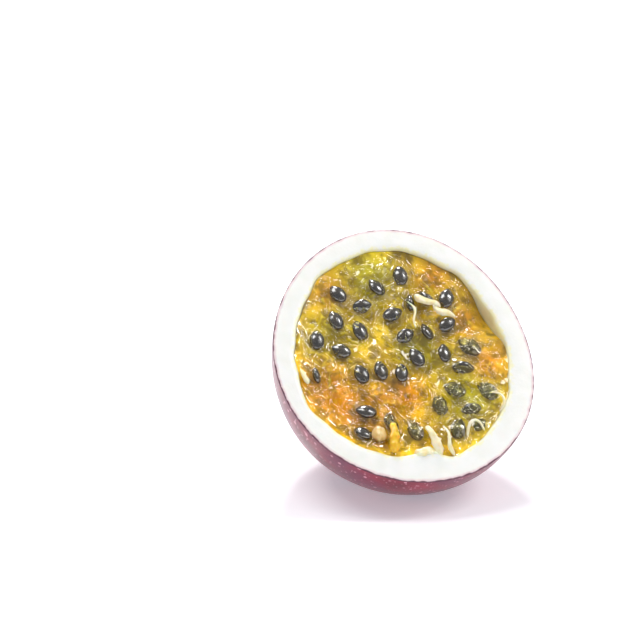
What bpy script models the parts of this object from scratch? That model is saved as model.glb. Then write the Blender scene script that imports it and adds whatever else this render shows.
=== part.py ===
"""Half of a passion fruit, cut across and leaning back on a small flat spot of its skin.

Metres, +Z up. The fruit is modelled in its own frame first: the cut is the plane z = 0, the body
hangs below it along -z, and +y is the edge of the cut that ends up highest. The empty "half_fruit"
then leans that frame back and lifts it, so that the flat spot lies on the ground plane with its
middle at the world's origin. The cut looks towards -Y and up.
"""

import math

import bmesh
import bpy
from mathutils import Matrix, Vector

MM = 0.001

# Driving dimensions of the fruit.
CUT_RADIUS = 30 * MM
BODY_DEPTH = 33.5 * MM
RIND_THICKNESS = 5.4 * MM  # leathery skin and white pith, grown as one piece
GAP = 0.3 * MM  # clearance between neighbouring pieces

# How it rests: the cut leans back by this angle from level, on skin pressed flat by this depth.
LEAN = math.radians(44)
FLAT_DEPTH = 1.5 * MM

# The flesh: level of its creases below the cut, and the swelling of each juice sac above them.
CREASE_LEVEL = 2.6 * MM
SAC_SWELL = 1.7 * MM
SAC_RADIUS = 4.6 * MM
BARE_WALL_CLOCK = math.radians(22)  # the flesh has shrunk from the wall at this angle round the cut
BARE_WALL_DIP = 2.2 * MM
BARE_WALL_SPREAD = 6 * MM

# One seed, lying flat.
SEED_LENGTH = 5.6 * MM
SEED_WIDTH = 3.9 * MM
SEED_HEIGHT = 2.5 * MM
SEED_TAPER = 0.38  # how much narrower the pointed end is than the middle
SEED_LEVEL = 1.35 * MM  # depth of a seed's middle below the cut

# Where each seed shows: right and up from the middle of the cut in millimetres, the turn of its long
# axis, the roll about that axis in degrees (90 stands it on edge), and its share of the full size.
SEEDS = [
    (3, 20, 90, 0, 1.05),
    (-3, 17.5, 125, 25, 1),
    (-12, 16.5, 125, 0, 1),
    (-13.5, 10, 110, 10, 1),
    (-18.5, 5.5, 85, 0, 1),
    (-7, 13, 5, 30, 0.95),
    (-0.5, 10.5, 20, 0, 1),
    (4, 13, 85, 80, 0.85),
    (-8.5, 7, 105, 15, 1.05),
    (1.5, 5, 25, 10, 0.95),
    (3, -0.5, 115, 0, 1),
    (-13.5, 2.5, 150, 0, 0.95),
    (-5.5, -3, 95, 20, 1),
    (-10, -3.5, 105, 0, 1),
    (-1, -4, 85, 10, 0.95),
    (12.5, 13.5, 70, 0, 1.05),
    (8, 14, 130, 65, 0.85),
    (6.5, 5.5, 110, 45, 0.9),
    (11.5, 7, 30, 10, 0.95),
    (9.5, 0, 90, 20, 0.95),
    (15.5, 1, 140, 0, 1.15),
    (13, -4, -10, 55, 1),
    (17.5, -10, 130, 0, 1.05),
    (10, -9, 150, 20, 1),
    (6, -12.5, 100, 0, 0.95),
    (9, -18.5, 70, 10, 1),
    (-0.5, -18, 105, 15, 1),
    (-10.5, -12.5, 165, 20, 1),
    (-5.5, -15.5, 110, 30, 0.95),
    (13, -14, 5, 60, 0.95),
    (-12, -17.5, 150, 30, 0.9),
    (14, -18, 45, 20, 0.75),
    (-20, -3, 95, 70, 0.8),
]

# How finely the round shapes are faceted.
BODY_SEGMENTS = 48
BODY_RINGS = 24
SEED_SEGMENTS = 10
SEED_RINGS = 7
FLESH_GRID = 29


def outline(angle):
    """The cut is a slightly long oval: its radius at this angle, as a share of the mean radius."""
    return 1 + 0.040 * math.cos(2 * angle + 2.73) + 0.014 * math.cos(3 * angle + 2.11)


# Worked out from the above. DOWN is the world's downward direction in the fruit's own frame.
DOWN = Vector((0, -math.sin(LEAN), -math.cos(LEAN)))
LOW_SIDE_RADIUS = CUT_RADIUS * outline(-math.pi / 2)
LOWEST_REACH = math.hypot(LOW_SIDE_RADIUS * math.sin(LEAN), BODY_DEPTH * math.cos(LEAN))
CUT_CENTRE_HEIGHT = LOWEST_REACH - FLAT_DEPTH
# The full body's lowest point lies this far behind the middle of the cut.
FLAT_SETBACK = math.sin(LEAN) * math.cos(LEAN) * (BODY_DEPTH**2 - LOW_SIDE_RADIUS**2) / LOWEST_REACH


def clear_scene():
    for obj in list(bpy.data.objects):
        bpy.data.objects.remove(obj)


def make_material(name, colour, roughness):
    """A Principled BSDF with one colour and roughness, and no metal."""
    material = bpy.data.materials.new(name)
    material.use_nodes = True
    shader = material.node_tree.nodes["Principled BSDF"]
    shader.inputs["Base Color"].default_value = (*colour, 1)
    shader.inputs["Roughness"].default_value = roughness
    shader.inputs["Metallic"].default_value = 0
    material.diffuse_color = (*colour, 1)
    return material


def add_object(name, bm, material, parent):
    """Turns a bmesh into a smooth-shaded object that hangs from the fruit's empty."""
    bmesh.ops.recalc_face_normals(bm, faces=bm.faces)
    mesh = bpy.data.meshes.new(name)
    bm.to_mesh(mesh)
    bm.free()
    mesh.shade_smooth()
    mesh.set_sharp_from_angle(angle=math.radians(40))
    if material:
        mesh.materials.append(material)
    obj = bpy.data.objects.new(name, mesh)
    bpy.context.scene.collection.objects.link(obj)
    obj.parent = parent
    return obj


def body_layer(bm, inset, top=0.0):
    """Adds the body's surface at this depth under the skin, open at the level top of the cut.

    Where the layer would come nearer to the ground than its inset, it is cut flat, as pressed skin.
    Returns the edges of its rim.
    """
    made = bmesh.ops.create_uvsphere(
        bm, u_segments=BODY_SEGMENTS, v_segments=BODY_RINGS, radius=1
    )["verts"]
    for vert in made:
        reach = (CUT_RADIUS - inset) * outline(math.atan2(vert.co.y, vert.co.x))
        vert.co = Vector((vert.co.x * reach, vert.co.y * reach, vert.co.z * (BODY_DEPTH - inset)))

    def layer_geometry():
        faces = {face for vert in made if vert.is_valid for face in vert.link_faces}
        edges = {edge for face in faces for edge in face.edges}
        return list(faces) + list(edges) + [vert for vert in made if vert.is_valid]

    cut = bmesh.ops.bisect_plane(
        bm, geom=layer_geometry(), plane_co=(0, 0, top), plane_no=(0, 0, 1), clear_outer=True
    )
    rim = [item for item in cut["geom_cut"] if isinstance(item, bmesh.types.BMEdge)]
    made += [item for item in cut["geom_cut"] if isinstance(item, bmesh.types.BMVert)]
    ground = DOWN * (CUT_CENTRE_HEIGHT - inset)
    pressed = bmesh.ops.bisect_plane(
        bm, geom=layer_geometry(), plane_co=ground, plane_no=DOWN, clear_outer=True
    )
    bmesh.ops.edgeloop_fill(
        bm, edges=[item for item in pressed["geom_cut"] if isinstance(item, bmesh.types.BMEdge)]
    )
    return [edge for edge in rim if edge.is_valid]


def rim_corners(rim):
    """The rim's vertices in their order round the cut."""
    corners = {vert for edge in rim for vert in edge.verts}
    start = 0.01  # keeps the place where the count begins off the corners themselves
    return sorted(corners, key=lambda vert: (math.atan2(vert.co.y, vert.co.x) + start) % math.tau)


def bowl(thickness):
    """The closed shell between the body's surface and a layer under it, flat across at the cut."""
    bm = bmesh.new()
    outer = rim_corners(body_layer(bm, 0))
    inner = rim_corners(body_layer(bm, thickness))
    for i in range(len(outer)):
        bm.faces.new((outer[i - 1], outer[i], inner[i], inner[i - 1]))
    return bm


def flesh_height(x, y):
    """Level of the flesh's top at a point of the cut: a swelling over each seed, creases between."""
    swell = 0.0
    for right, up, _, _, _ in SEEDS:
        away = math.hypot(x - right * MM, y - up * MM) / SAC_RADIUS
        swell = max(swell, SAC_SWELL * (1 - away * away))
    bare = Vector((math.cos(BARE_WALL_CLOCK), math.sin(BARE_WALL_CLOCK))) * CUT_RADIUS * 0.78
    dip = BARE_WALL_DIP * math.exp(-(((x - bare.x) ** 2 + (y - bare.y) ** 2) / BARE_WALL_SPREAD**2))
    return swell - CREASE_LEVEL - dip


def flesh_cutter():
    """A block with the flesh's lumpy top, which trims the cavity's filling."""
    half = CUT_RADIUS
    bm = bmesh.new()
    bmesh.ops.create_grid(bm, x_segments=FLESH_GRID, y_segments=FLESH_GRID, size=half)
    top = list(bm.faces)
    sides = bmesh.ops.extrude_face_region(bm, geom=top)
    for item in sides["geom"]:
        if isinstance(item, bmesh.types.BMVert):
            item.co.z = flesh_height(item.co.x, item.co.y)
    low = {vert for face in top if face.is_valid for vert in face.verts}
    for vert in low:
        vert.co.z = -1.2 * BODY_DEPTH
    return bm


def cavity_filling():
    """The solid that fills the cavity up to the cut, with the usual gap to the pith."""
    bm = bmesh.new()
    rim = body_layer(bm, RIND_THICKNESS + GAP)
    bmesh.ops.edgeloop_fill(bm, edges=rim)
    return bm


def seed_body(grow=0.0):
    """A flattened drop along x, grown all round by this much. Its point is at +x."""
    bm = bmesh.new()
    made = bmesh.ops.create_uvsphere(
        bm, u_segments=SEED_SEGMENTS, v_segments=SEED_RINGS, radius=0.5
    )["verts"]
    for vert in made:
        narrow = 1 - SEED_TAPER * max(0.0, 2 * vert.co.x) ** 2
        vert.co = Vector((
            vert.co.x * (SEED_LENGTH + 2 * grow),
            vert.co.y * (SEED_WIDTH + 2 * grow) * narrow,
            vert.co.z * (SEED_HEIGHT + 2 * grow) * (0.4 + 0.6 * narrow),
        ))
    return bm


def place_seed(obj, right, up, turn, roll, size):
    """Sets a seed down at its place in the cut."""
    obj.matrix_local = (
        Matrix.Translation((right * MM, up * MM, -SEED_LEVEL))
        @ Matrix.Rotation(math.radians(turn), 4, "Z")
        @ Matrix.Rotation(math.radians(roll), 4, "X")
        @ Matrix.Scale(size, 4)
    )


def hide_helper(obj):
    obj.hide_render = True
    obj.display_type = "WIRE"


def add_boolean(obj, name, operation, helper):
    """Cuts or trims obj with one helper object, or with a collection of them."""
    modifier = obj.modifiers.new(name, "BOOLEAN")
    modifier.operation = operation
    modifier.solver = "EXACT"
    if isinstance(helper, bpy.types.Collection):
        modifier.operand_type = "COLLECTION"
        modifier.collection = helper
    else:
        modifier.object = helper


def make_frame():
    """The empty that leans the fruit back and sets its flat spot on the ground at the origin."""
    empty = bpy.data.objects.new("half_fruit", None)
    bpy.context.scene.collection.objects.link(empty)
    empty.location = (0, -FLAT_SETBACK, CUT_CENTRE_HEIGHT)
    empty.rotation_euler = (LEAN, 0, 0)
    return empty


def make_rind(parent):
    skin = make_material("purple_skin", (0.30, 0.02, 0.07), 0.3)
    pith = make_material("white_pith", (0.90, 0.88, 0.82), 0.5)
    rind = add_object("rind", bowl(RIND_THICKNESS), skin, parent)
    rind.data.materials.append(pith)
    for face in rind.data.polygons:
        faces_in = face.center.dot(face.normal) < 0
        face.material_index = 1 if faces_in or face.normal.z > 0.99 else 0


def make_seeds(parent):
    """One object for each seed that shows, and the pockets that they leave in the flesh."""
    coat = make_material("dark_seed_coat", (0.03, 0.025, 0.02), 0.2)
    pockets = bpy.data.collections.new("seed_pockets")
    bpy.context.scene.collection.children.link(pockets)
    pockets.hide_render = True
    for number, place in enumerate(SEEDS, start=1):
        seed = add_object(f"seed_{number:02d}", seed_body(), coat, parent)
        place_seed(seed, *place)
        pocket = add_object(f"pocket_{number:02d}", seed_body(GAP), None, parent)
        place_seed(pocket, *place)
        bpy.context.scene.collection.objects.unlink(pocket)
        pockets.objects.link(pocket)
        hide_helper(pocket)
    return pockets


def make_pulp(parent, pockets):
    flesh = make_material("golden_pulp", (0.80, 0.42, 0.03), 0.15)
    trimmer = add_object("flesh_top", flesh_cutter(), None, parent)
    hide_helper(trimmer)
    pulp = add_object("pulp", cavity_filling(), flesh, parent)
    add_boolean(pulp, "lumpy_top", "INTERSECT", trimmer)
    add_boolean(pulp, "seed_pockets", "DIFFERENCE", pockets)


clear_scene()
half_fruit = make_frame()
make_rind(half_fruit)
make_pulp(half_fruit, make_seeds(half_fruit))
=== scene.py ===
# %% [markdown]
# # Half a passion fruit, leaning on its skin
# The cut fruit is a cup of purple skin and white pith, full of golden juice in thin bags. Most of the bags
# hold a dark seed. This lesson builds the finish piece by piece around the CAD solids, which settle the
# sizes and never move.

# %% Load the fixed frame
import math
import random

import bmesh
import bpy
import numpy as np
from mathutils import Matrix, Vector, noise


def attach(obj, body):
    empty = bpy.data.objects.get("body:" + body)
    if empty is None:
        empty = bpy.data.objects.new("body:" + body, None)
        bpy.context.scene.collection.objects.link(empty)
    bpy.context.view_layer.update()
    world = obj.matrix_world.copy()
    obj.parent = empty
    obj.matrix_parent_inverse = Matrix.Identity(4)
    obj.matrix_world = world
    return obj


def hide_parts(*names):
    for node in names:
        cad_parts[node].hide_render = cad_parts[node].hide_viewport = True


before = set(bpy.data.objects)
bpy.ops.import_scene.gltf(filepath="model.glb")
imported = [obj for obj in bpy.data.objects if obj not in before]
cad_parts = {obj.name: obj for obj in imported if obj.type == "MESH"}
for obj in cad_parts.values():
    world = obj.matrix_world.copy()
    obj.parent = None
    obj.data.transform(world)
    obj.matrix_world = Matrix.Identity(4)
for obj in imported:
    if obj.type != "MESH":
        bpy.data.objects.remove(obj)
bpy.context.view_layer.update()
SEED_NODES = sorted(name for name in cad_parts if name.startswith("seed_"))

# %% [markdown]
# ## The fruit's own frame
# It is easier to model a half fruit with its cut lying level, and to lean it back afterwards. In this frame
# the cut is the plane z = 0, the body hangs below it, and +y is the edge of the cut that ends up highest.
# Lengths are in millimetres, and one matrix takes them to metres in the leaning fruit. Modelling on the
# slope itself would also work, but every height would then need its own sum.

# %% Driving sizes and the leaning matrix
MM = 0.001
CUT_RADIUS = 30.0
BODY_DEPTH = 33.5
RIND_THICKNESS = 5.4
LEAN = math.radians(44)
FLAT_DEPTH = 1.5
OVAL_SHARE, OVAL_PHASE = 0.040, 2.73
EGG_SHARE, EGG_PHASE = 0.014, 2.11


def outline(angle):
    """The cut is a slightly long oval, blunter at one end: its radius as a share of the mean radius."""
    return 1 + OVAL_SHARE * np.cos(2 * angle + OVAL_PHASE) + EGG_SHARE * np.cos(3 * angle + EGG_PHASE)


low_side_radius = CUT_RADIUS * outline(-math.pi / 2)
lowest_reach = math.hypot(low_side_radius * math.sin(LEAN), BODY_DEPTH * math.cos(LEAN))
ground_reach = lowest_reach - FLAT_DEPTH
setback = math.sin(LEAN) * math.cos(LEAN) * (BODY_DEPTH**2 - low_side_radius**2) / lowest_reach
down = np.array([0, -math.sin(LEAN), -math.cos(LEAN)])
lean_back = (
    Matrix.Translation((0, -setback * MM, ground_reach * MM))
    @ Matrix.Rotation(LEAN, 4, "X")
    @ Matrix.Scale(MM, 4)
)
cut_centre = lean_back @ Vector((0, 0, 0))

# %% [markdown]
# ## Building in fruit millimetres
# Every piece here is a mesh made from lists of points, because bags, lips and pits follow formulas better
# than they follow modifiers. The helper below bakes the leaning matrix into the mesh, so that all objects
# sit at the world's origin, like the CAD nodes. It also keeps each point's place in the fruit's frame as an
# attribute, which the materials read, so that a pattern keeps its place on the fruit.

# %% Turning points into a piece
def face_outwards(mesh):
    """Turns a closed mesh's faces round if they look inwards, because clear juice bends light by them."""
    bm = bmesh.new()
    bm.from_mesh(mesh)
    if bm.calc_volume(signed=True) < 0:
        bmesh.ops.reverse_faces(bm, faces=bm.faces)
        bm.to_mesh(mesh)
    bm.free()


def add_piece(name, points, faces, materials, replaces=(), face_material=None, masks=None):
    """A smooth-shaded mesh object from points in fruit millimetres, which rides on the root body."""
    mesh = bpy.data.meshes.new(name)
    mesh.from_pydata([tuple(p) for p in points], [], faces)
    place = mesh.attributes.new("fruit_mm", "FLOAT_VECTOR", "POINT")
    place.data.foreach_set("vector", np.asarray(points, np.float32).ravel())
    for mask, values in (masks or {}).items():
        layer = mesh.attributes.new(mask, "FLOAT", "POINT")
        layer.data.foreach_set("value", np.asarray(values, np.float32))
    for material in materials:
        mesh.materials.append(material)
    if face_material is not None:
        mesh.polygons.foreach_set("material_index", np.asarray(face_material, np.int32))
    mesh.transform(lean_back)
    face_outwards(mesh)
    mesh.shade_smooth()
    piece = bpy.data.objects.new(name, mesh)
    bpy.context.scene.collection.objects.link(piece)
    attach(piece, "root")
    if replaces:
        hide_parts(*replaces)
    return piece


def loft_faces(rings, around):
    """Quads between neighbouring rings, and a fan at each end. The two end points come after the rings."""
    faces = []
    for ring in range(rings - 1):
        for i in range(around):
            j = (i + 1) % around
            here, there = ring * around, (ring + 1) * around
            faces.append((here + i, there + i, there + j, here + j))
    first, last = rings * around, rings * around + 1
    for i in range(around):
        j = (i + 1) % around
        faces.append((first, i, j))
        faces.append((last, (rings - 1) * around + j, (rings - 1) * around + i))
    return faces


def ripple(points, scale, seed):
    """Smooth noise between about -1 and 1 at each point, with bumps of about 1 / scale millimetres."""
    return np.array([noise.noise(Vector(p) * scale + Vector((seed, seed, seed))) for p in points])


print("a loft of three rings of eight points has", len(loft_faces(3, 8)), "faces")

# %% [markdown]
# ## A reusable surface effect
# Nothing on a fruit has one flat colour. The group "mottle" drifts between two colours in soft patches, and
# every material here but the ground's uses it with its own colours and patch size. An image could carry
# such patches too, but it would need a UV map and would stretch where the mesh does.

# %% The mottle group
MOTTLE_DETAIL = 4


def add_sockets(group, in_out, sockets):
    for name, kind in sockets:
        group.interface.new_socket(name, in_out=in_out, socket_type="NodeSocket" + kind)


def make_mottle_group():
    group = bpy.data.node_groups.new("mottle", "ShaderNodeTree")
    add_sockets(group, "INPUT", [("First", "Color"), ("Second", "Color"), ("Patches per mm", "Float"),
                                 ("From", "Float"), ("To", "Float")])
    add_sockets(group, "OUTPUT", [("Colour", "Color")])
    nodes, link = group.nodes, group.links.new
    given, result = nodes.new("NodeGroupInput"), nodes.new("NodeGroupOutput")
    place = nodes.new("ShaderNodeAttribute")
    place.attribute_name = "fruit_mm"
    cloud = nodes.new("ShaderNodeTexNoise")
    cloud.inputs["Detail"].default_value = MOTTLE_DETAIL
    spread = nodes.new("ShaderNodeMapRange")
    mix = nodes.new("ShaderNodeMix")
    mix.data_type = "RGBA"
    link(place.outputs["Vector"], cloud.inputs["Vector"])
    link(given.outputs["Patches per mm"], cloud.inputs["Scale"])
    link(cloud.outputs["Fac"], spread.inputs["Value"])
    link(given.outputs["From"], spread.inputs["From Min"])
    link(given.outputs["To"], spread.inputs["From Max"])
    link(spread.outputs["Result"], mix.inputs["Factor"])
    link(given.outputs["First"], mix.inputs["A"])
    link(given.outputs["Second"], mix.inputs["B"])
    link(mix.outputs["Result"], result.inputs["Colour"])
    return group


MOTTLE = make_mottle_group()
print("mottle group:", len(MOTTLE.nodes), "nodes")

# %% [markdown]
# ## Short names for nodes
# Every finish below is a Principled shader with a few textures and masks in front of it. Writing out each
# node and link would hide what the finish is, so one small class makes them and joins them up.

# %% Paint
class Paint:
    """A material's node tree with short names for the nodes that these finishes are made of."""

    def __init__(self, name, **settings):
        self.material = bpy.data.materials.new(name)
        self.material.use_nodes = True
        self.tree = self.material.node_tree
        self.shader = self.tree.nodes["Principled BSDF"]
        for socket, value in settings.items():
            self.shader.inputs[socket.replace("_", " ")].default_value = value

    def node(self, kind, **settings):
        made = self.tree.nodes.new(kind)
        for name, value in settings.items():
            setattr(made, name, value)
        return made

    def join(self, output, target):
        self.tree.links.new(output, target)

    def mask(self, name):
        return self.node("ShaderNodeAttribute", attribute_name=name).outputs["Fac"]

    def place(self):
        return self.node("ShaderNodeAttribute", attribute_name="fruit_mm").outputs["Vector"]

    def mottle(self, first, second, scale, low=0.35, high=0.65):
        """The mottle group with these two colours. Either may be a colour or another node's output."""
        made = self.node("ShaderNodeGroup", node_tree=MOTTLE)
        for socket, colour in (("First", first), ("Second", second)):
            self.colour(made.inputs[socket], colour)
        made.inputs["Patches per mm"].default_value = scale
        made.inputs["From"].default_value = low
        made.inputs["To"].default_value = high
        return made.outputs["Colour"]

    def colour(self, socket, colour):
        if isinstance(colour, tuple):
            socket.default_value = (*colour, 1)
        else:
            self.join(colour, socket)

    def blend(self, factor, first, second):
        mix = self.node("ShaderNodeMix", data_type="RGBA")
        self.join(factor, mix.inputs["Factor"])
        self.colour(mix.inputs["A"], first)
        self.colour(mix.inputs["B"], second)
        return mix.outputs["Result"]

    def remap(self, value, low, high, out_low=0.0, out_high=1.0):
        made = self.node("ShaderNodeMapRange", interpolation_type="SMOOTHSTEP")
        self.join(value, made.inputs["Value"])
        ends = {"From Min": low, "From Max": high, "To Min": out_low, "To Max": out_high}
        for socket, number in ends.items():
            made.inputs[socket].default_value = number
        return made.outputs["Result"]

    def maths(self, operation, first, second):
        made = self.node("ShaderNodeMath", operation=operation)
        for socket, value in zip(made.inputs, (first, second)):
            if isinstance(value, (int, float)):
                socket.default_value = value
            else:
                self.join(value, socket)
        return made.outputs["Value"]

    def noise(self, scale, detail=3):
        made = self.node("ShaderNodeTexNoise")
        made.inputs["Scale"].default_value = scale
        made.inputs["Detail"].default_value = detail
        self.join(self.place(), made.inputs["Vector"])
        return made.outputs["Fac"]

    def bump(self, height, strength, distance):
        made = self.node("ShaderNodeBump")
        made.inputs["Strength"].default_value = strength
        made.inputs["Distance"].default_value = distance * MM
        self.join(height, made.inputs["Height"])
        self.join(made.outputs["Normal"], self.shader.inputs["Normal"])

    def base(self, output):
        self.join(output, self.shader.inputs["Base Color"])
        return self.material


def show_finish(material):
    print("finish:", material.name, "with", len(material.node_tree.nodes), "nodes")

# %% [markdown]
# ## The skin's finish
# Ripe purple skin is deep crimson, almost wine, and smooth enough to shine. Pale pores fleck it all over:
# most are pin-pricks, some are twice as large. They could be modelled as dots, but there are thousands, so
# two sizes of Voronoi cells give one fleck each, with a radius drawn per cell so that many stay bare.

# %% Purple skin
DARK_WINE, RED_WINE, VIOLET = (0.13, 0.003, 0.016), (0.30, 0.006, 0.036), (0.10, 0.010, 0.055)
PORE = (0.72, 0.33, 0.40)
SMALL_FLECK_POWER = 2.2


def flecks(paint, per_mm, largest, softness):
    """A mask of small round flecks, one at most in each cell. largest is in cells."""
    cells = paint.node("ShaderNodeTexVoronoi")
    cells.inputs["Scale"].default_value = per_mm
    paint.join(paint.place(), cells.inputs["Vector"])
    luck = paint.node("ShaderNodeSeparateColor")
    paint.join(cells.outputs["Color"], luck.inputs["Color"])
    radius = paint.maths("MULTIPLY", paint.maths("POWER", luck.outputs["Red"], SMALL_FLECK_POWER), largest)
    inside = paint.maths("SUBTRACT", radius, cells.outputs["Distance"])
    return paint.remap(inside, 0.0, softness)


def make_skin():
    """Wine red that drifts to violet, under pores that are fainter in some places than in others."""
    paint = Paint("purple_skin", Roughness=0.30, Specular_IOR_Level=0.40, Coat_Weight=0.15,
                  Coat_Roughness=0.12)
    wine = paint.mottle(DARK_WINE, RED_WINE, 0.16, 0.3, 0.7)
    skin = paint.mottle(wine, VIOLET, 0.07, 0.42, 0.68)
    pores = paint.maths("MAXIMUM", flecks(paint, 1.3, 0.46, 0.10), flecks(paint, 0.62, 0.36, 0.06))
    faint = paint.remap(paint.noise(0.5), 0.3, 0.62, 0.25, 0.85)
    grain = paint.maths("ADD", paint.noise(2.2, 4), paint.maths("MULTIPLY", pores, 0.35))
    paint.bump(grain, 0.25, 0.12)
    return paint.base(paint.blend(paint.maths("MULTIPLY", pores, faint), skin, PORE))


SKIN = make_skin()
show_finish(SKIN)

# %% [markdown]
# ## The pith's finish
# Fresh pith is moist, spongy and nearly white. It blushes pink just inside the skin, whose own cut edge is a
# thin dark line, and juice stains it cream towards the cavity. The cavity's wall is cream going grey-green:
# the cream is a stain, the grey-green is painted shade of the hollow. Rings of separate meshes could carry
# these colours, but the real ones have no edges. So the mask "from_skin" says about how many millimetres of
# pith lie between a point and the skin, and each colour fades in over a range of that depth.

# %% White pith
WHITE, OFF_WHITE = (0.86, 0.855, 0.83), (0.82, 0.825, 0.78)
# A cream stain and a grey-green that is painted shade, for the cavity's wall.
CREAM_WALL, GREY_WALL_SHADE = (0.80, 0.80, 0.66), (0.70, 0.68, 0.50)
JUICE_STAIN, BLUSH, SKIN_EDGE = (0.86, 0.82, 0.50), (0.72, 0.55, 0.58), (0.10, 0.02, 0.045)
SKIN_EDGE_ENDS, BLUSH_ENDS = (0.14, 0.36), (0.25, 0.95)
STAIN_BEGINS, WALL_BEGINS = (4.3, 5.4), (5.0, 6.6)


def make_pith():
    """White in the middle, a thin dark line and a blush at the skin, stained at the cavity, painted shade on
    its wall.
    """
    paint = Paint("white_pith", Roughness=0.42, Coat_Weight=0.25, Coat_Roughness=0.25,
                  Subsurface_Weight=0.35, Subsurface_Scale=0.002)
    paint.shader.inputs["Subsurface Radius"].default_value = (1.0, 0.8, 0.6)
    depth = paint.mask("from_skin")
    body = paint.mottle(WHITE, OFF_WHITE, 0.28)
    # The cavity's wall: a cream stain mottled with grey-green, which is painted shade of the hollow.
    wall = paint.mottle(CREAM_WALL, GREY_WALL_SHADE, 0.35)
    ragged = paint.maths("ADD", depth, paint.remap(paint.noise(0.9), 0.3, 0.7, -0.5, 0.5))
    inner = paint.blend(paint.remap(ragged, *STAIN_BEGINS), body, JUICE_STAIN)
    inner = paint.blend(paint.remap(depth, *WALL_BEGINS), inner, wall)
    wavy = paint.maths("ADD", depth, paint.remap(paint.noise(0.5), 0.3, 0.7, -0.12, 0.12))
    outer = paint.blend(paint.remap(wavy, *BLUSH_ENDS), BLUSH, inner)
    outer = paint.blend(paint.remap(wavy, *SKIN_EDGE_ENDS), SKIN_EDGE, outer)
    paint.bump(paint.noise(1.6, 5), 0.35, 0.10)
    return paint.base(outer)


PITH = make_pith()
show_finish(PITH)

# %% [markdown]
# ## The rind's shape
# The cut isn't a true circle, the pith is thinner on the left and has a heel at the bottom, the lip is
# scalloped where bags pressed into it, and the skin is pressed flat where it rests. A sphere with sculpted
# dents could look like this, but formulas over the angle keep the lip the same for the rind and the juice.

# %% Shape of the body and of the lip
AROUND = 288
PITH_WIDTH = 5.2
LIP_FADE = 14
FLAT_EDGE = 0.35


def ring_at(angle, radius, height):
    """Points round the fruit's axis. Radius and height may each be one number or one for each angle."""
    return np.stack([radius * np.cos(angle), radius * np.sin(angle), height + 0 * angle], -1)


def bump_at(angle, where, width):
    """1 at one clock angle of the cut, falling away within about this many degrees."""
    away = (np.degrees(angle) - where + 180) % 360 - 180
    return np.exp(-((away / width) ** 2))


def lip_radius(angle):
    """Where the cut face ends and the cavity begins."""
    pith = PITH_WIDTH + 0.8 * bump_at(angle, -40, 25) - 0.9 * bump_at(angle, -155, 24)
    pith += 2.2 * bump_at(angle, -87, 8) + 0.7 * bump_at(angle, -103, 13) - 0.4 * bump_at(angle, 130, 18)
    scallops = 0.16 * np.sin(9 * angle + 0.6) + 0.14 * np.sin(14 * angle + 2.1) + 0.10 * np.sin(23 * angle)
    return CUT_RADIUS * outline(angle) - pith + scallops


def body_point(angle, dip, inset):
    """Points of the body's surface, inset under the skin. dip runs from 0 at the cut to a right angle."""
    reach = (CUT_RADIUS - inset) * outline(angle) * np.cos(dip)
    return ring_at(angle, reach, -(BODY_DEPTH - inset) * np.sin(dip))


def press_flat(points):
    """Holds points back from the ground, with a soft edge to the flat."""
    reach = points @ down
    held = ground_reach - FLAT_EDGE * np.logaddexp(0, (ground_reach - reach) / FLAT_EDGE)
    return points + np.outer(held - reach, down)


clock = np.radians(np.arange(0, 360, 5))
pith_widths = CUT_RADIUS * outline(clock) - lip_radius(clock)
print("pith across the cut, mm: from", pith_widths.min().round(1), "to", pith_widths.max().round(1))

# %% [markdown]
# ## The rind
# Skin and pith grew as one piece, so they are one closed mesh: a profile that runs from the lowest point of
# the skin up to the rim, across the cut, over the lip and down the cavity's wall, turned round the fruit.
# Each stretch of the profile has a function of its own, which also says how deep its points lie in the pith.

# %% Rings of the rind
SKIN_INSET = 0.06
FACE_WIDTH = 5.3
FACE_DEPTHS = (0.10, 0.22, 0.34, 0.48, 0.7, 1.0, 1.4, 1.9, 2.5, 3.1, 3.7, 4.2)
RIM_DROP, RIM_ROUND = 0.10, 0.12
FACE_SAG = 0.10
LIP_ROUND, LIP_DROP = 0.7, 0.16
WALL_DROP = 0.3


def skin_rings(angle):
    """The skin, from its lowest point up to the cut."""
    dips = np.radians(np.linspace(89, 0.6, 96))
    return [(press_flat(body_point(angle, dip, SKIN_INSET)), 0.0, False) for dip in dips]


def face_rings(angle):
    """The cut face, from the skin's edge inwards, with a slightly uneven surface."""
    edge, lip = CUT_RADIUS * outline(angle), lip_radius(angle)
    rings = []
    for depth in FACE_DEPTHS:
        share = depth / FACE_WIDTH
        radius = edge - depth - (edge - lip - FACE_WIDTH) * share**2
        height = -RIM_DROP * math.exp(-depth / RIM_ROUND) - FACE_SAG * share**2
        ring = ring_at(angle, radius, height)
        ring[:, 2] += 0.07 * ripple(ring, 0.35, 7.0) * min(1.0, depth)
        rings.append((ring, depth, True))
    return rings


def lip_rings(angle):
    """The rounded lip between the face and the cavity's wall."""
    lip = lip_radius(angle)
    rings = []
    for turn in np.radians(np.linspace(8, 80, 8)):
        radius = lip + LIP_ROUND - LIP_ROUND * np.sin(turn)
        height = -LIP_DROP - LIP_ROUND * (1 - np.cos(turn))
        rings.append((ring_at(angle, radius, height), 4.7 + 0.6 * math.sin(turn), True))
    return rings


def wall_rings(angle):
    """The cavity's wall, which has the lip's outline at the top and turns into a plain bowl further down."""
    lip = lip_radius(angle)
    rings = []
    for dip in np.radians(np.linspace(4, 88, 46)):
        wall = body_point(angle, dip, RIND_THICKNESS)
        towards_lip = math.exp(-math.degrees(dip) / LIP_FADE)
        stretch = 1 + (lip / np.hypot(wall[:, 0], wall[:, 1]) - 1) * towards_lip
        wall[:, :2] *= stretch[:, None]
        wall[:, 2] -= WALL_DROP
        wall *= (1 + 0.010 * ripple(wall, 0.22, 3.0))[:, None]
        rings.append((wall, 5.6 + 1.5 * (1 - towards_lip), True))
    return rings


angles_round = np.linspace(0, math.tau, AROUND, endpoint=False)
rind_profile = [*skin_rings(angles_round), *face_rings(angles_round), *lip_rings(angles_round),
                *wall_rings(angles_round)]
print("rings in the rind's profile:", len(rind_profile))

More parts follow.
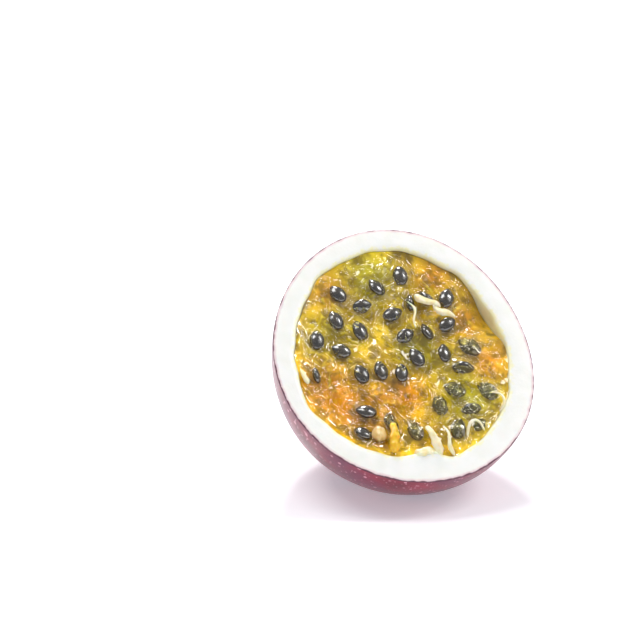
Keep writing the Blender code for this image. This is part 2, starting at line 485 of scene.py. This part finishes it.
# %% [markdown]
# ## Joining the rings
# A grown body is never quite even, so the whole rind wavers by a tenth of a millimetre or less. It only ever
# shrinks, which keeps the skin inside the CAD solid's. Near the ground the waver fades, and the flat stays
# flat. A displacement modifier could do it, but it would also push points out.

# %% Build the rind
WAVER = 0.0015
WAVER_FADES_WITHIN = 3
DEEPEST_PITH = 7.0


def make_rind(profile):
    rings, depths, is_pith = zip(*profile)
    lowest = press_flat(np.array([[0, 0, SKIN_INSET - BODY_DEPTH]]))
    cavity_floor = np.array([[0, 0, RIND_THICKNESS - BODY_DEPTH]])
    points = np.concatenate([*rings, lowest, cavity_floor])
    waver = WAVER * (1 + ripple(points, 0.09, 1.0))
    off_ground = np.clip((ground_reach - points @ down) / WAVER_FADES_WITHIN, 0, 1)
    points *= (1 - waver * off_ground)[:, None]
    faces = loft_faces(len(rings), AROUND)
    pith_of_face = [*np.repeat(is_pith[1:], AROUND).astype(int), *[0, 1] * AROUND]
    masks = {"from_skin": np.concatenate([np.repeat(depths, AROUND), [0.0, DEEPEST_PITH]])}
    return add_piece("rind", points, faces, [SKIN, PITH], ["rind"], pith_of_face, masks)


rind = make_rind(rind_profile)
print("rind:", len(rind.data.polygons), "faces")

# %% [markdown]
# ## Where the seeds are
# The CAD model has one solid for each seed that shows. The corners of a seed's mesh spread furthest along
# the seed, less across it and least through it, so the directions of most and least spread give the way
# that it is turned. Reading the poses here means that the seeds can't drift from their solids.

# %% Seeds' places and turns
to_fruit = lean_back.inverted()
SEED_LENGTH, SEED_WIDTH, SEED_HEIGHT, SEED_TAPER = 5.6, 3.9, 2.5, 0.38
END_SHARE = 0.2


def seed_pose(node):
    """Middle, axes and size of a CAD seed. The first axis points at the seed's narrow end."""
    corners = np.array([to_fruit @ vert.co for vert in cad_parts[node].data.vertices])
    corners = np.unique(corners.round(3), axis=0)
    axes = np.linalg.eigh(np.cov(corners.T))[1][:, ::-1]
    reach = corners @ axes
    middle = (reach.min(0) + reach.max(0)) / 2
    along, across = (reach - middle)[:, :2].T
    length = np.ptp(along)
    centre = axes @ middle
    if np.ptp(across[along > END_SHARE * length]) > np.ptp(across[along < -END_SHARE * length]):
        axes[:, 0] *= -1
    axes[:, 1] *= np.sign(np.linalg.det(axes))
    return centre, axes, length / SEED_LENGTH


seed_poses = {node: seed_pose(node) for node in SEED_NODES}
print(len(seed_poses), "seeds, the first at", seed_poses[SEED_NODES[0]][0].round(1))

# %% [markdown]
# ## Seeds
# A passion fruit seed is a flattened drop, black-brown and covered in small pits. Wet with juice, it throws
# back glints that the pits break up. A bump texture could fake the pits, but glints give a false surface
# away, so the pits are real dents in the mesh. The wet film is a coat that bends light strongly.

# %% Seed coat
BLACK_BROWN, BROWN = (0.004, 0.003, 0.002), (0.035, 0.022, 0.006)
SEED_SHRINK = 0.93
PITS_PER_MM, PIT_SIZE, PIT_DEPTH = 1.9, 0.45, 0.03
BALL_SUBDIVISIONS = 5


def make_seed_coat():
    paint = Paint("dark_seed_coat", Roughness=0.35, Specular_IOR_Level=0.3, Coat_Weight=1.0,
                  Coat_IOR=2.1, Coat_Roughness=0.15)
    return paint.base(paint.mottle(BLACK_BROWN, BROWN, 0.6))


def ball(subdivisions):
    """Directions from the middle of an icosphere to its corners, and its faces."""
    bm = bmesh.new()
    bmesh.ops.create_icosphere(bm, subdivisions=subdivisions, radius=1)
    directions = np.array([vert.co for vert in bm.verts])
    faces = [[vert.index for vert in face.verts] for face in bm.faces]
    bm.free()
    return directions, faces


SEED_COAT = make_seed_coat()
show_finish(SEED_COAT)
ball_directions, ball_faces = ball(BALL_SUBDIVISIONS)
print("corners of each seed:", len(ball_directions))

# %% [markdown]
# ## A drop with pits
# The drop starts as a ball squeezed in two directions and drawn in towards one end. Each seed has its own
# pits and waves, because the number of the seed shifts the pattern. It is a little smaller than its solid,
# so that the juice closes round it.

# %% Build the seeds
def seed_points(directions, number):
    """A flattened drop along x with its point at +x, in millimetres, pitted all over."""
    x, y, z = directions.T / 2
    narrow = 1 - SEED_TAPER * np.maximum(0, 2 * x) ** 2
    thin = 0.4 + 0.6 * narrow
    drop = np.stack([x * SEED_LENGTH, y * SEED_WIDTH * narrow, z * SEED_HEIGHT * thin], -1)
    pits = []
    for point in drop:
        distances, _ = noise.voronoi(Vector(point) * PITS_PER_MM + Vector((number * 9.1, 0, 0)))
        pits.append(math.exp(-(distances[0] / PIT_SIZE) ** 2))
    pitted = drop * (1 - PIT_DEPTH * (np.array(pits) + 0.5))[:, None]
    return pitted * (1 + 0.02 * ripple(drop, 0.5, number * 3.7))[:, None]


def make_seed(node, centre, axes, size):
    points = seed_points(ball_directions, SEED_NODES.index(node)) * size * SEED_SHRINK @ axes.T + centre
    return add_piece(node + "_coat", points, ball_faces, [SEED_COAT], [node])


seeds = [make_seed(node, *pose) for node, pose in seed_poses.items()]
print("seeds:", len(seeds), "of", len(seeds[0].data.polygons), "faces each")

# %% [markdown]
# ## The bags
# Each seed floats in its own bag of juice, and bags without a seed fill the gaps. Packed in the cavity, they
# press against one another and dome up where nothing holds them. A soft-body simulation could pack them,
# but it would be slow and hard to steer. So the surface is the highest of many domes, one to each bag, with
# a soft crease between.

# %% Domes
BARE_TOP, COVERED_TOP = -0.8, 0.1
SEED_BAG_LENGTH, SEED_BAG_WIDTH = 4.1, 3.0
MOUTH_REACH = 24
TRIES_FOR_GAPS = 3000
DOME_STEEPNESS = 1.15
LOWEST_CREASE = -2.3


def seed_is_bare(centre):
    """Seeds nearer the upper left of the cut stand out of the juice. The others lie under it."""
    return centre[1] > 0.9 * centre[0] - 9


def dome_list():
    """One dome for each bag: middle, long axis's direction, half length, half width, level of its top."""
    domes = []
    for centre, axes, size in seed_poses.values():
        long_axis = math.atan2(axes[1, 0], axes[0, 0])
        top = BARE_TOP if seed_is_bare(centre) else COVERED_TOP
        domes.append((centre[0], centre[1], long_axis, SEED_BAG_LENGTH * size, SEED_BAG_WIDTH * size, top))
    luck = random.Random(11)
    for _ in range(TRIES_FOR_GAPS):
        angle, reach = luck.uniform(0, math.tau), MOUTH_REACH * math.sqrt(luck.random())
        x, y, size = reach * math.cos(angle), reach * math.sin(angle), luck.uniform(2.1, 3.4)
        if all(math.hypot(x - dome[0], y - dome[1]) > 0.95 * size + 0.42 * dome[3] for dome in domes):
            turn, length, top = luck.uniform(0, math.pi), luck.uniform(1.0, 1.5), luck.uniform(-1.2, -0.3)
            domes.append((x, y, turn, size * length, size, top))
    return domes


def dome_surface(x, y, crease_softness):
    """Level of the bags' skin, and how near a point is to a crease, from 0 on a dome to 1 between domes."""
    levels = []
    for dome_x, dome_y, turn, half_long, half_wide, top in DOMES:
        right, up = x - dome_x, y - dome_y
        along = (right * math.cos(turn) + up * math.sin(turn)) / half_long
        across = (up * math.cos(turn) - right * math.sin(turn)) / half_wide
        levels.append(top - DOME_STEEPNESS * (along**2 + across**2))
    levels = np.array(levels)
    highest = crease_softness * np.log(np.sum(np.exp(levels / crease_softness), 0))
    return np.maximum(highest, LOWEST_CREASE), np.clip((-0.7 - highest) / 0.9, 0, 1)


DOMES = dome_list()
print("bags of juice:", len(DOMES))

# %% [markdown]
# ## Meeting the wall
# At the wall the pulp climbs to just under the lip, except at the upper right, where the flesh has shrunk
# and a patch of pale wall shows. Both the flesh and the juice over it are rings of points over the cavity's
# mouth, and both go down to the wall in the same way, so that no gap opens between them. A shrinkwrap could
# pull them to the wall, but only after the rind is meshed, and with less say over the patch.

# %% The wall and the rings over the cavity's mouth
BARE_WALL_CLOCK = 22
BARE_WALL_WIDTH = 17
GAP_AT_WALL = 0.12


def wall_radius(angle, depth):
    """Distance of the cavity's wall from the fruit's axis, at this depth below the cut."""
    dip = np.arcsin(np.clip(depth / (BODY_DEPTH - RIND_THICKNESS), 0, 0.999))
    inner = (CUT_RADIUS - RIND_THICKNESS) * outline(angle) * np.cos(dip)
    return inner + (lip_radius(angle) - inner) * np.exp(-np.degrees(dip) / LIP_FADE)


def mouth_rings(rings, around):
    """Points over the cavity's mouth in rings: their angle, share of the way to the wall, x and y."""
    angle = np.linspace(0, math.tau, around, endpoint=False)
    share = np.sin(np.linspace(0.006, math.pi / 2, rings))[:, None]
    radius = share * (lip_radius(angle) - GAP_AT_WALL)
    return angle, share + 0 * angle, radius * np.cos(angle), radius * np.sin(angle)


def wall_level(angle):
    """Level at which the pulp meets the wall."""
    return -0.55 - 4.4 * bump_at(angle, BARE_WALL_CLOCK, 15) - 0.8 * bump_at(angle, 60, 22)


def to_wall(level, angle, share):
    """Takes a surface to its level at the wall, from further in where the flesh has shrunk."""
    edge = share ** (11 - 7.5 * bump_at(angle, BARE_WALL_CLOCK, BARE_WALL_WIDTH))
    return level * (1 - edge) + wall_level(angle) * edge


print("pulp meets the wall, mm below the cut: from", -wall_level(clock).max().round(1), "to",
      -wall_level(clock).min().round(1))

# %% [markdown]
# ## Wrinkles and patches of colour
# The bags' skins lie in thin folds, and the flesh under them is in strands. Both have sharp crests with
# smooth sides, which plain noise lacks, so the crests are made where noise passes through zero. The flesh
# is orange in some places and olive in others, and each patch is a soft round spot with a place and a size.

# %% Wrinkles and patches
CREST_SHARPNESS = 3.2
# Each patch has its x and y, its radius and its strength.
ORANGE_PATCHES = [(-19, -6, 7, 1.0), (-11, -13, 7, 1.0), (-1, -9, 5, 1.0), (19, -3, 4, 1.0),
                  (10, 19, 4, 0.8), (16, 8, 4, 0.8), (-14, 17, 4, 0.7)]
OLIVE_PATCHES = [(13, -11, 7, 1.0), (-4, 20, 7, 1.0), (-16, 5, 6, 0.8), (3, 1, 5, 1.0)]


def creased(x, y, scale, seed):
    """Sharp-crested wrinkles between 0 and 1, bent by slower noise, as in thin skins that lie in folds."""
    ridges = []
    for right, up in zip(x.ravel(), y.ravel()):
        bend = noise.noise(Vector((right * 0.35, up * 0.35, seed))) * 1.6
        ridges.append(abs(noise.noise(Vector((right * scale + bend, up * scale - bend, seed * 2.7)))))
    return (1 - np.clip(np.array(ridges).reshape(x.shape) * CREST_SHARPNESS, 0, 1)) ** 2


def spot(x, y, middle_x, middle_y, radius):
    return np.exp(-((x - middle_x) ** 2 + (y - middle_y) ** 2) / radius**2)


def patches(points, places):
    """A mask from 0 to 1 that is high inside the patches."""
    x, y = points[:, 0], points[:, 1]
    total = sum(strength * spot(x, y, *place) for *place, strength in places)
    return np.clip(total, 0, 1)


def colour_masks(points):
    return {"orange": patches(points, ORANGE_PATCHES), "olive": patches(points, OLIVE_PATCHES)}


print("patches of colour:", len(ORANGE_PATCHES), "orange and", len(OLIVE_PATCHES), "olive")

# %% [markdown]
# ## The flesh's finish
# Under the clear juice lies flesh: stringy, wrinkled and golden, with brown shadows in its creases and round
# its seeds. Light goes a little way into it, which subsurface scattering gives. The shadows are painted in,
# because the clear juice above lets light reach everywhere and would leave them too faint.

# %% Golden flesh
GOLD, DEEP_GOLD = (0.98, 0.72, 0.004), (0.58, 0.38, 0.003)
OLIVE, LIGHT_OLIVE = (0.32, 0.29, 0.004), (0.80, 0.72, 0.010)
ORANGE, DEEP_ORANGE = (0.96, 0.48, 0.001), (0.64, 0.34, 0.002)
BROWN_CLOUD, CREASE_BROWN, SEED_SHADE = (0.20, 0.14, 0.003), (0.20, 0.13, 0.006), (0.16, 0.12, 0.004)
# Pale yellow for the strands' crests: partly their own colour, partly a painted highlight.
STRAND_YELLOW_AND_GLINT = (0.99, 0.85, 0.10)


def make_bed_finish():
    """Three flesh colours, brown clouds, painted shade in creases and by seeds, pale strands with a painted
    highlight.
    """
    paint = Paint("golden_bed", Roughness=0.4, Specular_IOR_Level=0.2,
                  Subsurface_Weight=0.3, Subsurface_Scale=0.001)
    paint.shader.inputs["Subsurface Radius"].default_value = (1.0, 0.6, 0.12)
    gold = paint.mottle(GOLD, DEEP_GOLD, 0.22, 0.4, 0.6)
    olive = paint.mottle(OLIVE, LIGHT_OLIVE, 0.26, 0.4, 0.6)
    orange = paint.mottle(ORANGE, DEEP_ORANGE, 0.24, 0.4, 0.6)
    flesh = paint.blend(paint.mask("olive"), gold, olive)
    flesh = paint.blend(paint.mask("orange"), flesh, orange)
    flesh = paint.blend(paint.remap(paint.noise(0.42, 5), 0.47, 0.63, 0.0, 0.75), flesh, BROWN_CLOUD)
    flesh = paint.blend(paint.mask("crease"), flesh, CREASE_BROWN)
    flesh = paint.blend(paint.mask("by_seed"), flesh, SEED_SHADE)
    # The strands' crests turn pale yellow, partly their own colour and partly a painted highlight along them.
    flesh = paint.blend(paint.mask("fold"), flesh, STRAND_YELLOW_AND_GLINT)
    paint.bump(paint.noise(1.2, 4), 0.3, 0.15)
    return paint.base(flesh)


BED = make_bed_finish()
show_finish(BED)

# %% [markdown]
# ## The pulp's bed
# The flesh is one closed body that fills the cavity. Its top follows the domes at less than half their
# height, so that the juice is deepest in the middle of each bag, where the seed is.
# Separate strands would be truer, but they would show only as the fine crests that the noise gives here.

# %% Build the bed
BED_RINGS, BED_AROUND = 120, 432
BED_LEVEL, DOME_SHARE, DOME_MIDDLE = -2.0, 0.45, -1.2
STRAND_HEIGHT = 0.5
BED_EDGE_SINKS = 0.25
BED_FLOOR = -26.6
CREASE_STRENGTH, STRAND_STRENGTH, SHADE_STRENGTH = 0.45, 0.8, 0.75
SEED_SHADE_RADIUS = 2.9


def mouth_points(x, y, level):
    return [np.stack(ring, -1) for ring in zip(x, y, level)]


def mask_on_top(values, point_count):
    """A mask that is known over the mouth only. The rest of the body gets 0."""
    return np.concatenate([values.ravel(), np.zeros(point_count - values.size)])


def make_bed():
    angle, share, x, y = mouth_rings(BED_RINGS, BED_AROUND)
    domes, crease = dome_surface(x, y, 0.25)
    strands = creased(x, y, 0.55, 5.0) * creased(x, y, 0.12, 4.0)
    level = BED_LEVEL + DOME_SHARE * (domes - DOME_MIDDLE) + STRAND_HEIGHT * strands
    level = to_wall(level, angle, share) - BED_EDGE_SINKS * share**8
    rings = mouth_points(x, y, level)
    for depth in np.linspace(5.8, 26, 18):
        rings.append(ring_at(angle, wall_radius(angle, depth) - GAP_AT_WALL, -depth))
    ends = np.array([[0, 0, rings[0][:, 2].mean()], [0, 0, BED_FLOOR]])
    points = np.concatenate([*rings, ends])
    shade = np.max([spot(x, y, *centre[:2], SEED_SHADE_RADIUS) for centre, _, _ in seed_poses.values()], 0)
    masks = {
        "crease": mask_on_top(CREASE_STRENGTH * crease * (1 - share**6), len(points)),
        "fold": mask_on_top(STRAND_STRENGTH * strands, len(points)),
        "by_seed": mask_on_top(SHADE_STRENGTH * shade, len(points)),
        **colour_masks(points),
    }
    faces = loft_faces(len(rings), BED_AROUND)
    return add_piece("pulp_bed", points, faces, [BED], ["pulp"], masks=masks)


bed = make_bed()
print("bed:", len(bed.data.polygons), "faces")

# %% [markdown]
# ## The juice's finish
# The bags' skins are wet and too thin to see from above: what shows is their shine, and the flesh and seeds
# through them. So the juice is a clear body that bends light, with a coat for the shine. Clear bodies cast
# dark shadows in a path tracer, so for shadow rays alone the juice is plain tinted glass without bending.

# %% Clear golden juice
YELLOW_TINT, WARM_TINT = (0.99, 0.92, 0.30), (0.99, 0.86, 0.20)
OLIVE_TINT, ORANGE_TINT, SHADOW_TINT = (0.90, 0.90, 0.28), (0.98, 0.70, 0.16), (0.98, 0.93, 0.72)


def make_juice_finish():
    paint = Paint("clear_juice", Roughness=0.02, IOR=1.33, Transmission_Weight=1.0, Coat_Weight=1.0,
                  Coat_IOR=1.7, Coat_Roughness=0.03)
    tint = paint.mottle(YELLOW_TINT, WARM_TINT, 0.25, 0.4, 0.6)
    tint = paint.blend(paint.mask("olive"), tint, OLIVE_TINT)
    paint.base(paint.blend(paint.mask("orange"), tint, ORANGE_TINT))
    shadow = paint.node("ShaderNodeBsdfTransparent")
    paint.colour(shadow.inputs["Color"], SHADOW_TINT)
    path = paint.node("ShaderNodeLightPath")
    either = paint.node("ShaderNodeMixShader")
    paint.join(path.outputs["Is Shadow Ray"], either.inputs["Fac"])
    paint.join(paint.shader.outputs["BSDF"], either.inputs[1])
    paint.join(shadow.outputs["BSDF"], either.inputs[2])
    paint.join(either.outputs["Shader"], paint.tree.nodes["Material Output"].inputs["Surface"])
    paint.bump(paint.noise(1.5, 3), 0.2, 0.15)
    return paint.material


JUICE = make_juice_finish()
show_finish(JUICE)

# %% [markdown]
# ## Clear juice
# The bags touch all over, so light crosses from one to the next as if there were no skin between. Modelled
# one by one they would overlap, and the light would bend at every wall. So they are one clear body with a
# domed and folded top, and a floor that lies hidden in the flesh.

# %% Build the juice
JUICE_RINGS, JUICE_AROUND = 190, 560
JUICE_LIFT, JUICE_SINK = 1.05, 0.15
FOLD_HEIGHT = 0.85
JUICE_FLOOR = -8.0
FLOOR_GAP_AT_WALL = 0.3


def make_juice():
    angle, share, x, y = mouth_rings(JUICE_RINGS, JUICE_AROUND)
    domes, _ = dome_surface(x, y, 0.22)
    folds = 0.8 * creased(x, y, 0.30, 1.0) + 0.7 * creased(x, y, 0.50, 9.0) * creased(x, y, 0.11, 8.0)
    level = to_wall(JUICE_LIFT * domes - JUICE_SINK + FOLD_HEIGHT * folds, angle, share)
    rings = mouth_points(x, y, level)
    for depth in np.linspace(6.2, 7.5, 4):
        rings.append(ring_at(angle, wall_radius(angle, depth) - FLOOR_GAP_AT_WALL, -depth))
    ends = np.array([[0, 0, rings[0][:, 2].mean()], [0, 0, JUICE_FLOOR]])
    points = np.concatenate([*rings, ends])
    faces = loft_faces(len(rings), JUICE_AROUND)
    return add_piece("clear_juice", points, faces, [JUICE], masks=colour_masks(points))


juice = make_juice()
print("juice:", len(juice.data.polygons), "faces")

# %% [markdown]
# ## Seed stalks and torn flesh
# Pale stalks tie the seeds to the pith. The cut has left some of them lying across the juice: one thick, a
# few no more than threads, two bent into small arches, and two torn ends in the middle. A flap of yellow
# flesh and a sliced bag lie beside them. A curve with a bevel would be even along its length, so each one is
# lofted along a smooth route with a lumpy, slightly flattened section.

# %% Stalks' finish and shape
LIGHT_CREAM, DARK_CREAM = (0.90, 0.86, 0.66), (0.84, 0.72, 0.36)
LIGHT_YELLOW, DARK_YELLOW = (0.92, 0.62, 0.02), (0.80, 0.42, 0.01)
LIGHT_BEIGE, DARK_BEIGE = (0.80, 0.62, 0.30), (0.70, 0.46, 0.14)
STALK_AROUND, STALK_STEPS = 20, 40
STALK_FLATNESS = 0.7


def make_stalk_finish(name, light, dark):
    paint = Paint(name, Roughness=0.3, Coat_Weight=0.5, Coat_Roughness=0.1,
                  Subsurface_Weight=0.4, Subsurface_Scale=0.001)
    paint.bump(paint.noise(2.0, 4), 0.4, 0.15)
    return paint.base(paint.mottle(light, dark, 0.8))


def smooth_route(route, t):
    """A route through a few points, as one gentle curve in each of the three directions."""
    knots, degree = np.linspace(0, 1, len(route)), min(3, len(route) - 1)
    return np.stack([np.polyval(np.polyfit(knots, line, degree), t) for line in np.transpose(route)], -1)


def make_stalk(name, finish, thickness, route):
    """A lumpy cord along a smooth route, with its half width told at its start, middle and end."""
    t = np.linspace(0, 1, STALK_STEPS)
    line = smooth_route(route, t)
    rounded_ends = np.sqrt(np.clip(1 - np.abs(2 * t - 1) ** 6, 0.02, 1))
    half_widths = np.interp(t, (0, 0.5, 1), thickness) * rounded_ends
    forward = np.gradient(line, axis=0)
    side = np.stack([-forward[:, 1], forward[:, 0], 0 * t], -1)
    side /= np.linalg.norm(side, axis=1)[:, None]
    turn = np.linspace(0, math.tau, STALK_AROUND, endpoint=False)
    rings = []
    for middle, across, half in zip(line, side, half_widths):
        section = np.outer(np.cos(turn), across) + np.outer(np.sin(turn), (0, 0, STALK_FLATNESS))
        ring = middle + half * section
        lumps = 0.45 * ripple(ring, 0.8, 2.0) + 0.10 * np.sin(4 * turn)
        rings.append(middle + (ring - middle) * (1 + lumps)[:, None])
    points = np.concatenate([*rings, line[:1], line[-1:]])
    return add_piece(name, points, loft_faces(STALK_STEPS, STALK_AROUND), [finish])


CREAM = make_stalk_finish("cream_stalk", LIGHT_CREAM, DARK_CREAM)
YELLOW = make_stalk_finish("yellow_flesh", LIGHT_YELLOW, DARK_YELLOW)
BEIGE = make_stalk_finish("sliced_bag", LIGHT_BEIGE, DARK_BEIGE)
for stalk_finish in (CREAM, YELLOW, BEIGE):
    show_finish(stalk_finish)

# %% [markdown]
# ## Laying out the stalks
# Each stalk has its finish, its half widths and a few points of its route. The heights run
# from below the juice, up over it and down again, so that both ends are lost in the pulp.

# %% Build the stalks
STALKS = {
    "stalk_thick": (CREAM, (1.3, 0.8, 0.7),
                    [(3.8, -24.6, -0.9), (3.2, -21.5, 0.0), (2.6, -19.5, 0.2), (2.0, -17.4, -0.5)]),
    "stalk_heel": (CREAM, (0.7, 1.2, 0.9),
                   [(-2.4, -24.6, -1.0), (0.4, -23.6, -0.5), (3.6, -24.2, -0.9)]),
    "stalk_thread": (CREAM, (0.6, 0.35, 0.2),
                     [(6.9, -24.9, -0.6), (6.1, -22.0, 0.1), (6.3, -20.0, 0.2), (5.4, -17.8, -0.2)]),
    "stalk_arch": (CREAM, (0.4, 0.25, 0.3),
                   [(10.6, -20.8, -0.8), (11.6, -17.9, 0.3), (13.2, -17.5, 0.3), (14.6, -19.6, -0.6)]),
    "stalk_right": (CREAM, (0.2, 0.25, 0.3),
                    [(17.2, -11.0, -0.2), (19.6, -11.6, 0.2), (20.2, -13.4, 0.1), (18.8, -15.4, -0.6)]),
    "stalk_wedge": (CREAM, (0.9, 0.7, 0.4),
                    [(5.4, 14.6, -0.4), (6.6, 12.6, 0.2), (8.8, 11.8, 0.3), (10.2, 10.6, -0.1)]),
    "stalk_torn": (CREAM, (0.4, 0.9, 0.3),
                   [(8.8, 11.4, -0.2), (10.0, 9.6, 0.2), (11.6, 9.2, 0.1), (13.4, 8.0, -0.4)]),
    "stalk_left": (CREAM, (0.3, 0.55, 0.4),
                   [(-23.4, -1.6, -0.6), (-22.9, -3.4, -0.2), (-22.2, -5.2, -0.6)]),
    "stalk_fine": (CREAM, (0.2, 0.28, 0.15),
                   [(3.0, 12.8, -0.2), (4.4, 10.4, 0.1), (3.8, 8.6, 0.1), (4.0, 6.2, -0.3)]),
    "flesh_flap": (YELLOW, (1.1, 1.1, 0.6),
                   [(-6.4, -23.0, -0.6), (-5.8, -20.4, 0.0), (-5.5, -18.0, 0.1), (-5.2, -16.0, -0.5)]),
    "sliced_bag": (BEIGE, (0.9, 1.9, 0.9),
                   [(-10.4, -18.2, -0.7), (-8.8, -18.5, -0.5), (-7.2, -18.8, -0.7)]),
}
stalks = [make_stalk(name, *facts) for name, facts in STALKS.items()]
print("stalks and torn flesh:", len(stalks))

# %% [markdown]
# ## The ground
# The fruit stands on a plain white ground. A white sheet in a studio is lit more than the fruit on it. A lamp
# for the sheet alone would spill on the fruit, so the sheet has a faint glow of its own instead.

# %% White ground
GROUND_REACH = 8
GROUND_WHITE, GROUND_GLOW = (0.95, 0.95, 0.96, 1), (0.92, 0.90, 1.0, 1)
ground_corners = [(x * GROUND_REACH, y * GROUND_REACH, 0) for x, y in ((-1, -1), (1, -1), (1, 1), (-1, 1))]
ground_mesh = bpy.data.meshes.new("ground")
ground_mesh.from_pydata(ground_corners, [], [(0, 1, 2, 3)])
ground = bpy.data.objects.new("ground", ground_mesh)
bpy.context.scene.collection.objects.link(ground)
white = Paint("white_ground", Base_Color=GROUND_WHITE, Roughness=0.9, Emission_Strength=0.33,
              Emission_Color=GROUND_GLOW)
ground_mesh.materials.append(white.material)
print("ground:", 2 * GROUND_REACH, "m wide")

# %% [markdown]
# ## Sky and softboxes
# A pale sky lights the fruit from all round. Four area lights do the rest: a window up to the left shines
# on the pith and the wet bags, a small spark above and behind gives the sharpest glints, a narrow strip up
# to the right draws thin lines on the folds, and a broad fill beside it keeps the right-hand side open.
# They are placed along the picture's own axes, so that "up to the left" means what it does in the picture.

# %% Light the fruit
SKY_COLOUR, SKY_STRENGTH = (0.95, 0.97, 1.0, 1), 0.40
VIEW_AZIMUTH, VIEW_ELEVATION = math.radians(-15.3), math.radians(20)
world = bpy.data.worlds.new("studio")
bpy.context.scene.world = world
world.use_nodes = True
world.node_tree.nodes["Background"].inputs["Color"].default_value = SKY_COLOUR
world.node_tree.nodes["Background"].inputs["Strength"].default_value = SKY_STRENGTH
bpy.context.scene.view_settings.view_transform = "Standard"
towards_camera = Vector((
    math.sin(VIEW_AZIMUTH) * math.cos(VIEW_ELEVATION),
    -math.cos(VIEW_AZIMUTH) * math.cos(VIEW_ELEVATION),
    math.sin(VIEW_ELEVATION),
))
picture_right = Vector((math.cos(VIEW_AZIMUTH), math.sin(VIEW_AZIMUTH), 0))
picture_up = towards_camera.cross(picture_right)


def softbox(name, right, up, front, width, height, watts):
    """An area light at a place given along the picture's axes, in metres, that looks at the fruit."""
    data = bpy.data.lights.new(name, "AREA")
    data.shape, data.size, data.size_y, data.energy = "RECTANGLE", width, height, watts
    lamp = bpy.data.objects.new(name, data)
    offset = picture_right * right + picture_up * up + towards_camera * front
    lamp.location = cut_centre + offset
    lamp.rotation_mode = "QUATERNION"
    lamp.rotation_quaternion = (-offset).to_track_quat("-Z", "Y")
    bpy.context.scene.collection.objects.link(lamp)
    return lamp


softboxes = [
    softbox("window", -0.24, 0.52, 0.24, 0.24, 0.34, 1.7),
    softbox("spark", -0.05, 0.60, -0.20, 0.12, 0.12, 2.4),
    softbox("strip", 0.40, 0.42, 0.20, 0.05, 0.24, 0.9),
    softbox("fill", 0.60, 0.50, 0.30, 0.50, 0.50, 1.1),
]
print("lights:", [lamp.name for lamp in softboxes])

# %% [markdown]
# ## Camera
# A long lens stands well back, so that the half fruit is hardly stretched by perspective. The cut's centre
# sits a little to the right of the picture's middle and below it, by these shares of the picture's side.

# %% Place the camera
LENS, SENSOR = 120.0, 36.0
SIDE_SEEN = 136.2 * MM
CUT_TO_RIGHT, CUT_BELOW = 0.1529, 0.0677
camera_data = bpy.data.cameras.new("camera")
camera_data.lens, camera_data.sensor_width = LENS, SENSOR
camera = bpy.data.objects.new("camera", camera_data)
distance = SIDE_SEEN * LENS / SENSOR
camera.location = cut_centre + towards_camera * distance
aim = cut_centre - picture_right * CUT_TO_RIGHT * SIDE_SEEN + picture_up * CUT_BELOW * SIDE_SEEN
camera.rotation_mode = "QUATERNION"
camera.rotation_quaternion = (aim - camera.location).to_track_quat("-Z", "Y")
bpy.context.scene.collection.objects.link(camera)
bpy.context.scene.camera = camera
print("camera:", round(distance, 2), "m from the cut")
